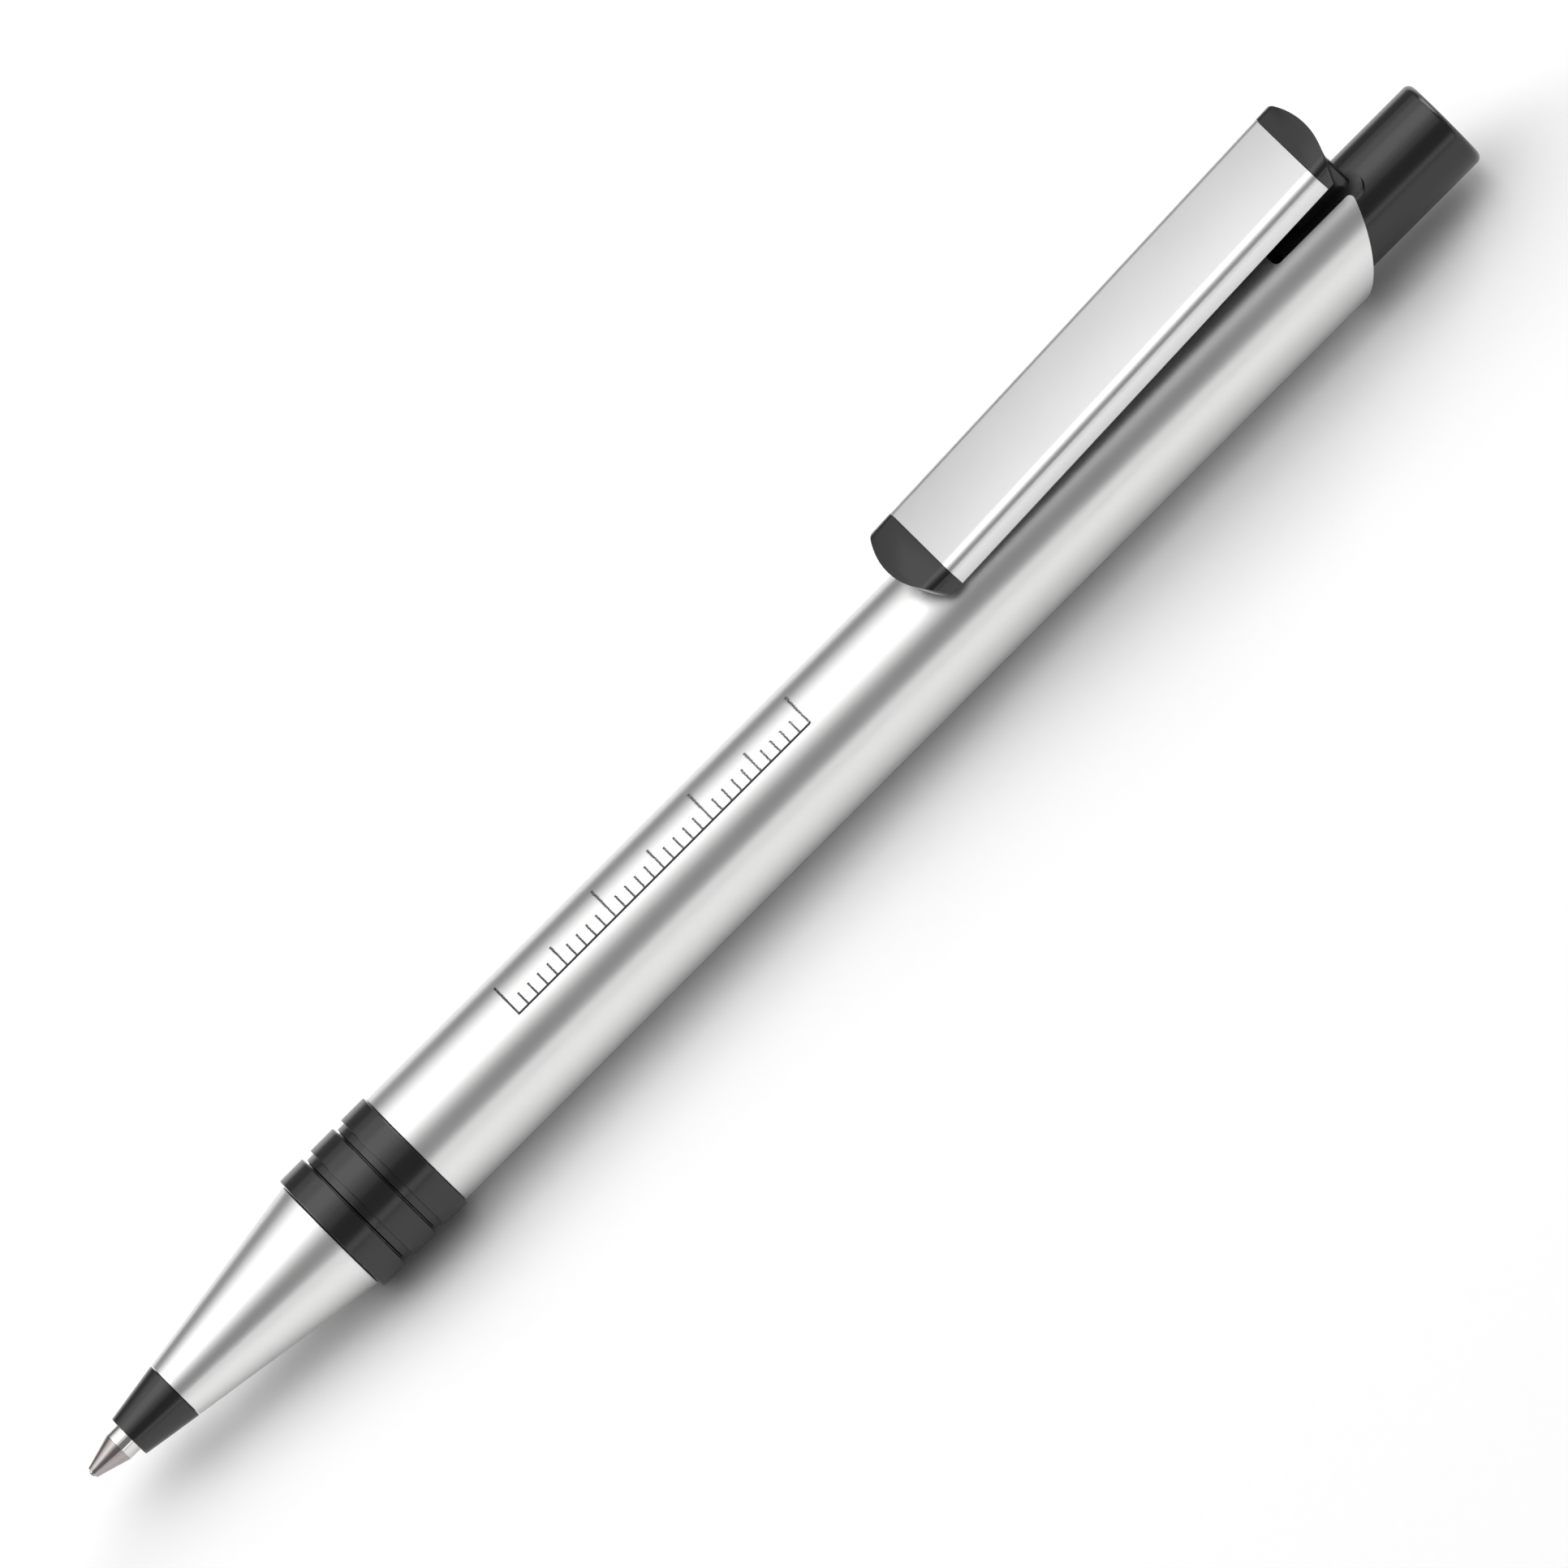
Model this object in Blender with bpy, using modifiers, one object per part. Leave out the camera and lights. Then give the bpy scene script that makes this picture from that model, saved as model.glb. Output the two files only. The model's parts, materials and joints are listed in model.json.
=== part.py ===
"""A retractable ballpoint pen with its tip out.

The pen lies along X, with the writing point towards -X, the button towards +X and the clip on top (+Z).
Everything is in metres. Places along the pen are stations, measured from the writing point. X is 0 half way
along the pen, and Z is 0 at the lowest point of the grip ring, the surface that the pen lies on.
"""

import math

import bmesh
import bpy

# Lengths that follow each other along the pen
TIP_OUT = 0.00395
NOSE_LENGTH = 0.00483
CONE_LENGTH = 0.01610
RING_LENGTH = 0.00870
BARREL_LENGTH = 0.09522
BUTTON_OUT = 0.01120

# Outer sizes
NOSE_FRONT_RADIUS = 0.00178
NOSE_REAR_RADIUS = 0.00252
CONE_STEP = 0.00020
RING_STEP = 0.00027
RING_GROOVE_DEPTH = 0.00036
RING_GROOVE_WIDTH = 0.00083
BARREL_RADIUS = 0.00513
BUTTON_RADIUS = 0.00385
BUTTON_EDGE = 0.00058
RIM_TILT = math.radians(30)

# Walls and clearances
BARREL_WALL = 0.00050
CONE_WALL = 0.00042
BUTTON_WALL = 0.00060
COUPLING_STEP = 0.00038
SEAM = 0.00004
FIT = 0.00005
RUN = 0.00010
SMALL_EDGE = 0.00010

# Cone, nose and thread
SPIGOT_RADIUS = 0.00208
SPIGOT_LENGTH = 0.00442
NECK_PLAY = 0.00013
THREAD_WALL = 0.00040
THREAD_LENGTH = 0.00393
COUPLING_TAIL = 0.00840

# Refill
REFILL_LENGTH = 0.09810
REFILL_RADIUS = 0.00295
REFILL_WALL = 0.00050
TIP_CYLINDER_RADIUS = 0.001245
TIP_CONE_LENGTH = 0.00291
TIP_LENGTH = 0.01050
TIP_SHANK_RADIUS = 0.00108
TIP_SHANK_LENGTH = 0.00350
BALL_RADIUS = 0.00035
NECK_RADIUS = 0.00165
SHOULDER = 0.02570
INK_BACK = 0.07600
PLUG_LENGTH = 0.00350
PLUG_SPIGOT = 0.00400

# Return spring
WIRE_RADIUS = 0.000225
SPRING_RADIUS = 0.00210
SPRING_TURNS = 9

# Latch
TRAVEL = 0.00500
OVERTRAVEL = 0.00120
ROTOR_LENGTH = 0.00920
CAM_RADIUS = 0.00285
CAM_BORE_RADIUS = 0.00160
TOOTH_HEIGHT = 0.00050
TOOTH_PLAY = 0.00015
FIN_RADIUS = 0.00360
FIN_WIDTH = 0.00140
ROTOR_FIN_LENGTH = 0.00330
THRUST_FIN_LENGTH = 0.00200
FIN_SETBACK = 0.00060
GUIDE_BORE_RADIUS = 0.00375
GUIDE_LENGTH = 0.01650
GROOVE_WIDTH = 0.00200
COLLAR_LENGTH = 0.00390
FLANGE_LENGTH = 0.00100

# Clip, its sleeve and the slot that its post stands in
CLIP_OVERHANG = 0.00370
CLIP_LENGTH = 0.04470
CLIP_WIDTH = 0.00900
CLIP_DEPTH = 0.00200
CLIP_EDGE = 0.00100
CLIP_FRONT_ARC = 0.00820
CLIP_REAR_ARC = 0.00950
CLIP_END_LEAN = math.radians(16)
CLIP_TILT = math.radians(3)
CLIP_RISE = 0.00497
PLATE_SETBACK_FRONT = 0.00320
PLATE_SETBACK_REAR = 0.00230
PLATE_THICKNESS = 0.00035
NIB_RADIUS = 0.00150
NIB_WIDTH = 0.00400
NIB_GAP = 0.00030
SLEEVE_DEPTH = 0.00440
SLOT_DEPTH = 0.00525
SLOT_WIDTH = 0.00540
SLOT_CORNER = 0.00047
TONGUE_SIDE = 0.00250
TONGUE_WIDTH = 0.00210
TONGUE_OVERHANG = 0.00380
TONGUE_THICKNESS = 0.00030
TONGUE_CORNER = 0.00100
POST_SETBACK_FRONT = 0.00600
POST_SETBACK_REAR = 0.00080
POST_WIDTH = 0.00320
POST_CORNER = 0.00050
FLEX_GAP = 0.00012
FLEX_SETBACK = 0.00100

# Stations and sizes worked out from the ones above
CONE_FRONT = TIP_OUT + NOSE_LENGTH
RING_FRONT = CONE_FRONT + CONE_LENGTH
BARREL_FRONT = RING_FRONT + RING_LENGTH
RIM = BARREL_FRONT + BARREL_LENGTH
CLIP_REAR = RIM + CLIP_OVERHANG
OVERALL_LENGTH = RIM + BUTTON_OUT
BARREL_BORE = BARREL_RADIUS - BARREL_WALL
CONE_REAR_RADIUS = BARREL_RADIUS - CONE_STEP
RING_RADIUS = BARREL_RADIUS + RING_STEP
RING_BORE_RADIUS = BARREL_BORE - FIT - COUPLING_STEP
THREAD_RADIUS = REFILL_RADIUS + RUN + FIT + THREAD_WALL
CLIP_HEIGHT = BARREL_RADIUS + CLIP_RISE
AXIS_HEIGHT = RING_RADIUS
SLEEVE_BORE = BUTTON_RADIUS + RUN
SLEEVE_FRONT = RIM - SLEEVE_DEPTH
FLANGE_REAR = SLEEVE_FRONT - TRAVEL - 3 * RUN
BUTTON_FRONT = FLANGE_REAR - FLANGE_LENGTH
SPIGOT_REAR = CONE_FRONT + SPIGOT_LENGTH
CONE_SLOPE = (CONE_REAR_RADIUS - NOSE_REAR_RADIUS) / CONE_LENGTH
ROTOR_FRONT = REFILL_LENGTH + RUN
ROTOR_REAR = ROTOR_FRONT + ROTOR_LENGTH
THRUST_FRONT = ROTOR_REAR + TOOTH_PLAY
ROTOR_FIN_REAR = ROTOR_REAR - FIN_SETBACK
THRUST_FIN_FRONT = THRUST_FRONT + FIN_SETBACK
GUIDE_FRONT = ROTOR_FRONT + 8 * RUN
RIB_FRONT = ROTOR_FIN_REAR + FIN_SETBACK - RUN

ROUND_STEPS = 48
SMALL_STEPS = 32

for leftover in list(bpy.data.objects):
    bpy.data.objects.remove(leftover)


def new_collection(name, hidden=False):
    collection = bpy.data.collections.new(name)
    bpy.context.scene.collection.children.link(collection)
    collection.hide_render = hidden
    return collection


PARTS = new_collection("retractable_pen")
TOOLS = new_collection("pen_cutters", hidden=True)


def finish_of(name, colour, roughness, metallic=0.0):
    material = bpy.data.materials.new(name)
    material.use_nodes = True
    shader = material.node_tree.nodes["Principled BSDF"]
    shader.inputs["Base Color"].default_value = (*colour, 1)
    shader.inputs["Roughness"].default_value = roughness
    shader.inputs["Metallic"].default_value = metallic
    material.diffuse_color = (*colour, 1)
    return material


# ------------------------------------------------------------------ shapes


def add_object(name, mesh, finish=None):
    """A new object: a part when it has a finish, otherwise a cutter that the render leaves out."""
    shape = bpy.data.objects.new(name, mesh)
    if finish:
        mesh.materials.append(finish)
        PARTS.objects.link(shape)
    else:
        TOOLS.objects.link(shape)
        shape.hide_render = True
        shape.display_type = "WIRE"
    return shape


def lay_on_axis(shape):
    """Turns a shape made round Z so that it lies along the pen, with its origin on the pen's axis."""
    shape.rotation_euler = (0, math.pi / 2, 0)
    shape.location = (-OVERALL_LENGTH / 2, 0, AXIS_HEIGHT)


def turned(name, outside, bore=(), finish=None, steps=ROUND_STEPS):
    """A turned piece. Both profiles are (station, radius) corners, listed from the writing end."""
    corners = list(reversed(outside)) + list(bore)
    if not bore:
        corners = [(outside[-1][0], 0)] + corners + [(outside[0][0], 0)]
    mesh = bpy.data.meshes.new(name)
    edges = [(i, i + 1) for i in range(len(corners) - 1)]
    if bore:
        edges.append((len(corners) - 1, 0))
    mesh.from_pydata([(radius, 0, station) for station, radius in corners], edges, [])
    shape = add_object(name, mesh, finish)
    screw = shape.modifiers.new("Turn", "SCREW")
    screw.steps = steps
    screw.render_steps = steps
    screw.use_merge_vertices = True
    screw.merge_threshold = 1e-7
    lay_on_axis(shape)
    return shape


def block(name, low, high, finish=None, edges=None, radius=0.0, rounds=4):
    """A box from its low to its high corner. edges(direction, middle) picks the edges that are rounded."""
    mesh = bpy.data.meshes.new(name)
    shape = bmesh.new()
    bmesh.ops.create_cube(shape, size=1)
    for vertex in shape.verts:
        for i in range(3):
            vertex.co[i] = high[i] if vertex.co[i] > 0 else low[i]
    if edges:
        centre = [(a + b) / 2 for a, b in zip(low, high)]
        picked = []
        for edge in shape.edges:
            along = (edge.verts[1].co - edge.verts[0].co).normalized()
            middle = (edge.verts[1].co + edge.verts[0].co) / 2
            if edges(along, [middle[i] - centre[i] for i in range(3)]):
                picked.append(edge)
        bmesh.ops.bevel(
            shape, geom=picked, offset=radius, segments=rounds, profile=0.5, affect="EDGES"
        )
    shape.to_mesh(mesh)
    shape.free()
    return add_object(name, mesh, finish)


def boolean(shape, other, operation):
    step = shape.modifiers.new(operation.title() + " " + other.name, "BOOLEAN")
    step.operation = operation
    step.solver = "EXACT"
    step.object = other


def cut(shape, *cutters):
    for cutter in cutters:
        boolean(shape, cutter, "DIFFERENCE")


def join(shape, *others):
    for other in others:
        boolean(shape, other, "UNION")


def cross_arms(name, front, rear, half_length, width):
    """Two flat bars that cross on the pen's axis, for four fins or four grooves."""
    middle = (front + rear) / 2 - OVERALL_LENGTH / 2
    half = (rear - front) / 2
    arms = []
    for label, y, z in (("side", half_length, width / 2), ("upright", width / 2, half_length)):
        arm = block(name + "_" + label, (-half, -y, -z), (half, y, z))
        arm.location = (middle, 0, AXIS_HEIGHT)
        arms.append(arm)
    return arms


def tooth_cutters(name, station):
    """Four diamond bars through the axis that cut eight V notches in a face at this station."""
    bars = []
    for i in range(4):
        mesh = bpy.data.meshes.new(f"{name}_{i}")
        shape = bmesh.new()
        # A four-sided prism whose sharp edges point along the pen and across it
        bmesh.ops.create_cone(
            shape,
            cap_ends=True,
            segments=4,
            radius1=TOOTH_HEIGHT,
            radius2=TOOTH_HEIGHT,
            depth=4 * CAM_RADIUS,
        )
        shape.to_mesh(mesh)
        shape.free()
        bar = add_object(f"{name}_{i}", mesh)
        bar.rotation_euler = (i * math.pi / 4 + math.pi / 8 + math.pi / ROUND_STEPS, 0, 0)
        bar.location = (station - OVERALL_LENGTH / 2, 0, AXIS_HEIGHT)
        bars.append(bar)
    return bars


def rim_cutter(name, inset):
    """Everything behind the sloping rear rim, moved forward by the inset."""
    reach = 4 * BARREL_RADIUS
    cutter = block(name, (0, -reach, -reach), (reach, reach, reach))
    cutter.rotation_euler = (0, RIM_TILT, 0)
    cutter.location = (RIM - inset - OVERALL_LENGTH / 2, 0, AXIS_HEIGHT)
    return cutter


def cone_radius(station):
    """The outer radius of the metal cone, which the thread bush follows from inside."""
    return NOSE_REAR_RADIUS + CONE_SLOPE * (station - CONE_FRONT)


# --------------------------------------------------------------- finishes

SATIN_METAL = finish_of("satin_silver", (0.72, 0.72, 0.71), 0.30, 1.0)
PLATE_METAL = finish_of("brushed_plate", (0.76, 0.76, 0.76), 0.34, 1.0)
BLACK_PLASTIC = finish_of("black_plastic", (0.035, 0.033, 0.034), 0.32)
INNER_PLASTIC = finish_of("natural_plastic", (0.62, 0.62, 0.60), 0.45)
REFILL_METAL = finish_of("refill_steel", (0.66, 0.65, 0.62), 0.25, 1.0)
NICKEL = finish_of("nickel_silver", (0.74, 0.71, 0.67), 0.16, 1.0)
CARBIDE = finish_of("carbide", (0.30, 0.30, 0.31), 0.10, 1.0)
SPRING_STEEL = finish_of("spring_steel", (0.60, 0.60, 0.60), 0.25, 1.0)
INK = finish_of("ink", (0.01, 0.02, 0.12), 0.20)

# ------------------------------------------------------------------- nose


def make_nose():
    mouth = TIP_CYLINDER_RADIUS + NECK_PLAY
    turned(
        "nose_tip",
        [
            (TIP_OUT, NOSE_FRONT_RADIUS - SMALL_EDGE),
            (TIP_OUT + SMALL_EDGE, NOSE_FRONT_RADIUS),
            (CONE_FRONT - SEAM, NOSE_REAR_RADIUS),
            (CONE_FRONT - SEAM, SPIGOT_RADIUS),
            (SPIGOT_REAR, SPIGOT_RADIUS),
        ],
        [
            (TIP_OUT, mouth),
            (TIP_LENGTH - OVERTRAVEL - 3 * RUN, mouth),
            (TIP_LENGTH - OVERTRAVEL - 3 * RUN, NECK_RADIUS + NECK_PLAY),
            (SPIGOT_REAR, NECK_RADIUS + NECK_PLAY),
        ],
        BLACK_PLASTIC,
    )
    turned(
        "front_cone",
        [(CONE_FRONT, NOSE_REAR_RADIUS), (RING_FRONT - SEAM, CONE_REAR_RADIUS)],
        [
            (CONE_FRONT, SPIGOT_RADIUS + FIT),
            (SPIGOT_REAR - RUN, SPIGOT_RADIUS + FIT),
            (SPIGOT_REAR + SPRING_RADIUS / 4, cone_radius(SPIGOT_REAR + SPRING_RADIUS / 4) - CONE_WALL),
            (RING_FRONT - SEAM, CONE_REAR_RADIUS - CONE_WALL),
        ],
        SATIN_METAL,
    )
    bush_front = RING_FRONT - THREAD_LENGTH
    turned(
        "cone_thread_bush",
        [
            (bush_front, cone_radius(bush_front) - CONE_WALL - FIT),
            (RING_FRONT - SEAM, CONE_REAR_RADIUS - CONE_WALL - FIT),
        ],
        [(bush_front, THREAD_RADIUS + FIT), (RING_FRONT - SEAM, THREAD_RADIUS + FIT)],
        BLACK_PLASTIC,
    )


def make_grip_ring():
    """Three flanges with two grooves between them."""
    front = RING_FRONT + SEAM
    rear = BARREL_FRONT - SEAM
    flange = (rear - front - 2 * RING_GROOVE_WIDTH) / 3
    low = RING_RADIUS - RING_GROOVE_DEPTH
    outside = []
    for i in range(3):
        start = front + i * (flange + RING_GROOVE_WIDTH)
        end = start + flange
        if i:
            outside.append((start, low))
        outside.append((start, RING_RADIUS - SMALL_EDGE))
        outside.append((start + SMALL_EDGE, RING_RADIUS))
        outside.append((end - SMALL_EDGE, RING_RADIUS))
        outside.append((end, RING_RADIUS - SMALL_EDGE))
        if i < 2:
            outside.append((end, low))
    bore = [(front, RING_BORE_RADIUS), (rear, RING_BORE_RADIUS)]
    turned("grip_ring", outside, bore, BLACK_PLASTIC)


def make_coupling():
    """The inner piece that holds cone, ring and barrel together."""
    front = RING_FRONT - THREAD_LENGTH + FIT
    middle = RING_BORE_RADIUS - FIT
    bore = REFILL_RADIUS + RUN + FIT
    shoulder = BARREL_FRONT + FIT
    turned(
        "thread_coupling",
        [
            (front, THREAD_RADIUS - SMALL_EDGE),
            (front + SMALL_EDGE, THREAD_RADIUS),
            (RING_FRONT + SEAM, THREAD_RADIUS),
            (RING_FRONT + SEAM, middle),
            (shoulder, middle),
            (shoulder, BARREL_BORE - FIT),
            (shoulder + COUPLING_TAIL, BARREL_BORE - FIT),
        ],
        [(front, bore), (shoulder + COUPLING_TAIL, bore)],
        BLACK_PLASTIC,
    )


# ----------------------------------------------------------------- barrel


def make_barrel():
    rear = RIM + 2 * BARREL_RADIUS
    barrel = turned(
        "barrel_tube",
        [
            (BARREL_FRONT, BARREL_RADIUS - SMALL_EDGE),
            (BARREL_FRONT + SMALL_EDGE, BARREL_RADIUS),
            (rear, BARREL_RADIUS),
        ],
        [(BARREL_FRONT, BARREL_BORE), (rear, BARREL_BORE)],
        SATIN_METAL,
    )
    half = OVERALL_LENGTH / 2
    slot = block(
        "slot_cutter",
        (RIM - SLOT_DEPTH - half, -SLOT_WIDTH / 2, AXIS_HEIGHT + SLEEVE_BORE / 2),
        (rear - half + BARREL_RADIUS, SLOT_WIDTH / 2, AXIS_HEIGHT + 2 * BARREL_RADIUS),
        edges=lambda along, middle: abs(along.z) > 0.9 and middle[0] < 0,
        radius=SLOT_CORNER,
    )
    cut(barrel, slot, rim_cutter("barrel_rim_cutter", 0))


def add_clip_pivot():
    """The axis that the clip flexes about: across the pen, between the post's top and the core."""
    pivot = bpy.data.objects.new("clip_pivot", None)
    pivot.empty_display_size = CLIP_WIDTH
    PARTS.objects.link(pivot)
    back = FLEX_SETBACK
    down = CLIP_DEPTH + FLEX_GAP / 2
    x = -back * math.cos(CLIP_TILT) + down * math.sin(CLIP_TILT)
    z = -back * math.sin(CLIP_TILT) - down * math.cos(CLIP_TILT)
    rear = CLIP_REAR - OVERALL_LENGTH / 2
    pivot.location = (rear + x, 0, AXIS_HEIGHT + CLIP_HEIGHT + z)
    pivot.rotation_euler = (0, -CLIP_TILT, 0)
    return pivot


def clip_frame(shape, rise=0.0):
    """Hangs a shape made in the clip's own frame on the clip's pivot.

    That frame has X along the clip from its rear end, and Z = 0 on the clip's top face.
    """
    shape.parent = CLIP_PIVOT
    shape.location = (FLEX_SETBACK, 0, CLIP_DEPTH + FLEX_GAP / 2 + rise)


def vertical_rear_edges(along, middle):
    return abs(along.z) > 0.9 and middle[0] > 0


def make_sleeve():
    """The sleeve that guides the button. It ends at the rim, apart from a low tongue that runs on over the
    button on one side, and a post on top carries the clip."""
    outside = [(SLEEVE_FRONT, BARREL_BORE - FIT), (RIM + 2 * BARREL_RADIUS, BARREL_BORE - FIT)]
    sleeve = turned("rear_sleeve", outside, (), BLACK_PLASTIC)
    half = OVERALL_LENGTH / 2
    behind_rim = rim_cutter("sleeve_rim_cutter", SMALL_EDGE)
    tongue_end = RIM + TONGUE_OVERHANG - half
    tongue = block(
        "tongue",
        (SLEEVE_FRONT - half, -TONGUE_SIDE, AXIS_HEIGHT + SLEEVE_BORE / 2),
        (tongue_end, TONGUE_WIDTH - TONGUE_SIDE, AXIS_HEIGHT + 2 * BARREL_RADIUS),
        edges=vertical_rear_edges,
        radius=TONGUE_CORNER,
    )
    cut(behind_rim, tongue)
    tongue_radius = SLEEVE_BORE + TONGUE_THICKNESS
    tongue_core = turned(
        "tongue_core", [(SLEEVE_FRONT, tongue_radius), (RIM + 3 * BARREL_RADIUS, tongue_radius)]
    )
    over_tongue = rim_cutter("over_tongue", SMALL_EDGE)
    cut(over_tongue, tongue_core)
    low = CLIP_HEIGHT - SLEEVE_BORE / 2
    post = block(
        "clip_post",
        (-POST_SETBACK_FRONT, -POST_WIDTH / 2, -low),
        (-POST_SETBACK_REAR, POST_WIDTH / 2, -CLIP_DEPTH - FLEX_GAP),
        edges=vertical_rear_edges,
        radius=POST_CORNER,
    )
    clip_frame(post)
    bore = turned(
        "sleeve_bore",
        [(SLEEVE_FRONT - SMALL_EDGE, SLEEVE_BORE), (RIM + 3 * BARREL_RADIUS, SLEEVE_BORE)],
    )
    cut(sleeve, behind_rim, over_tongue)
    join(sleeve, post)
    cut(sleeve, bore)


def make_guide():
    """The fixed guide: a free bore in front, and four ribs with four grooves between them behind."""
    rear = GUIDE_FRONT + GUIDE_LENGTH
    rib_bore = CAM_RADIUS + FIT + RUN
    guide = turned(
        "cam_guide",
        [(GUIDE_FRONT, BARREL_BORE - FIT), (rear, BARREL_BORE - FIT)],
        [
            (GUIDE_FRONT, GUIDE_BORE_RADIUS),
            (RIB_FRONT, GUIDE_BORE_RADIUS),
            (RIB_FRONT, rib_bore),
            (rear, rib_bore),
        ],
        INNER_PLASTIC,
    )
    deep = GUIDE_BORE_RADIUS - FIT
    cut(guide, *cross_arms("groove_cutter", RIB_FRONT - FIT, rear + RUN, deep, GROOVE_WIDTH))


# ----------------------------------------------------------------- button


def make_button():
    rear = OVERALL_LENGTH
    edge = [
        (rear - BUTTON_EDGE * (1 - math.sin(turn)), BUTTON_RADIUS - BUTTON_EDGE * (1 - math.cos(turn)))
        for turn in (i * math.pi / 10 for i in range(6))
    ]
    bore = BUTTON_RADIUS - BUTTON_WALL
    flange = BARREL_BORE - RUN - FIT
    turned(
        "push_button",
        [
            (BUTTON_FRONT, flange),
            (FLANGE_REAR, flange),
            (FLANGE_REAR, BUTTON_RADIUS),
            *edge,
            (rear, 0),
        ],
        [
            (BUTTON_FRONT, bore),
            (rear - 2 * BUTTON_WALL, bore),
            (rear - 2 * BUTTON_WALL, 0),
        ],
        BLACK_PLASTIC,
    )


def make_thrust_cam():
    """The toothed cam that the button pushes, with four fins that keep it from turning."""
    collar = BUTTON_RADIUS - BUTTON_WALL - FIT
    collar_front = BUTTON_FRONT - SEAM
    rear = collar_front + COLLAR_LENGTH
    thrust = turned(
        "thrust_cam",
        [
            (THRUST_FRONT, CAM_RADIUS),
            (collar_front, CAM_RADIUS),
            (collar_front, collar),
            (rear, collar),
        ],
        (),
        INNER_PLASTIC,
    )
    fin_rear = THRUST_FIN_FRONT + THRUST_FIN_LENGTH
    join(thrust, *cross_arms("thrust_fin", THRUST_FIN_FRONT, fin_rear, FIN_RADIUS, FIN_WIDTH))
    bore = [(THRUST_FRONT - RUN, CAM_BORE_RADIUS), (rear + RUN, CAM_BORE_RADIUS)]
    cut(thrust, turned("thrust_bore", bore, steps=SMALL_STEPS))
    cut(thrust, *tooth_cutters("thrust_teeth", THRUST_FRONT))


def make_rotor():
    """The cam that turns by one tooth at each press and holds the refill forward."""
    rotor = turned(
        "rotor_cam",
        [(ROTOR_FRONT, CAM_RADIUS), (ROTOR_REAR, CAM_RADIUS)],
        (),
        INNER_PLASTIC,
    )
    fin_front = ROTOR_FIN_REAR - ROTOR_FIN_LENGTH
    join(rotor, *cross_arms("rotor_fin", fin_front, ROTOR_FIN_REAR, FIN_RADIUS, FIN_WIDTH))
    bore = [(ROTOR_FRONT - RUN, CAM_BORE_RADIUS), (ROTOR_REAR + RUN, CAM_BORE_RADIUS)]
    cut(rotor, turned("rotor_bore", bore, steps=SMALL_STEPS))
    cut(rotor, *tooth_cutters("rotor_teeth", ROTOR_REAR))


# ----------------------------------------------------------------- refill


def make_refill():
    inner = REFILL_RADIUS - REFILL_WALL
    channel = TIP_SHANK_RADIUS / 4
    socket = BALL_RADIUS + FIT / 2
    shank_rear = TIP_LENGTH + TIP_SHANK_LENGTH
    lip = 0.6 * BALL_RADIUS
    turned(
        "refill_tip",
        [
            (lip, BALL_RADIUS + FIT),
            (TIP_CONE_LENGTH, TIP_CYLINDER_RADIUS),
            (TIP_LENGTH - SEAM, TIP_CYLINDER_RADIUS),
            (TIP_LENGTH - SEAM, TIP_SHANK_RADIUS),
            (shank_rear, TIP_SHANK_RADIUS),
        ],
        [
            (lip, socket),
            (2 * BALL_RADIUS + FIT, socket),
            (2 * BALL_RADIUS + FIT, channel),
            (shank_rear, channel),
        ],
        NICKEL,
        SMALL_STEPS,
    )
    steps = 8
    ball = [
        (BALL_RADIUS * (1 - math.cos(i * math.pi / steps)), BALL_RADIUS * math.sin(i * math.pi / steps))
        for i in range(1, steps)
    ]
    make_ball(ball)
    neck_bore = TIP_SHANK_RADIUS - 3 * RUN
    taper = SHOULDER + REFILL_RADIUS - NECK_RADIUS
    tube_rear = REFILL_LENGTH - PLUG_LENGTH
    turned(
        "refill_tube",
        [
            (TIP_LENGTH, NECK_RADIUS),
            (SHOULDER, NECK_RADIUS),
            (SHOULDER, REFILL_RADIUS - SMALL_EDGE),
            (SHOULDER + SMALL_EDGE, REFILL_RADIUS),
            (tube_rear, REFILL_RADIUS),
        ],
        [
            (TIP_LENGTH, TIP_SHANK_RADIUS + FIT),
            (shank_rear + RUN, TIP_SHANK_RADIUS + FIT),
            (shank_rear + RUN, neck_bore),
            (SHOULDER, neck_bore),
            (taper, inner),
            (tube_rear, inner),
        ],
        REFILL_METAL,
    )
    turned(
        "ink_column",
        [
            (shank_rear + 3 * RUN, neck_bore - FIT),
            (SHOULDER, neck_bore - FIT),
            (taper, inner - FIT),
            (INK_BACK, inner - FIT),
        ],
        (),
        INK,
        SMALL_STEPS,
    )
    plug_front = tube_rear - PLUG_SPIGOT
    vent = REFILL_WALL
    plug = turned(
        "refill_plug",
        [
            (plug_front, inner - FIT),
            (tube_rear + SEAM, inner - FIT),
            (tube_rear + SEAM, REFILL_RADIUS),
            (REFILL_LENGTH, REFILL_RADIUS),
        ],
        [(plug_front, vent), (REFILL_LENGTH, vent)],
        INNER_PLASTIC,
    )
    notch_depth = REFILL_LENGTH - PLUG_LENGTH / 2
    cut(plug, *cross_arms("plug_notch", notch_depth, REFILL_LENGTH + RUN, 2 * REFILL_RADIUS, 2 * vent))


def make_ball(profile):
    turned("writing_ball", [(0, 0.0), *profile, (2 * BALL_RADIUS, 0.0)], (), CARBIDE, 16)


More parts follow.
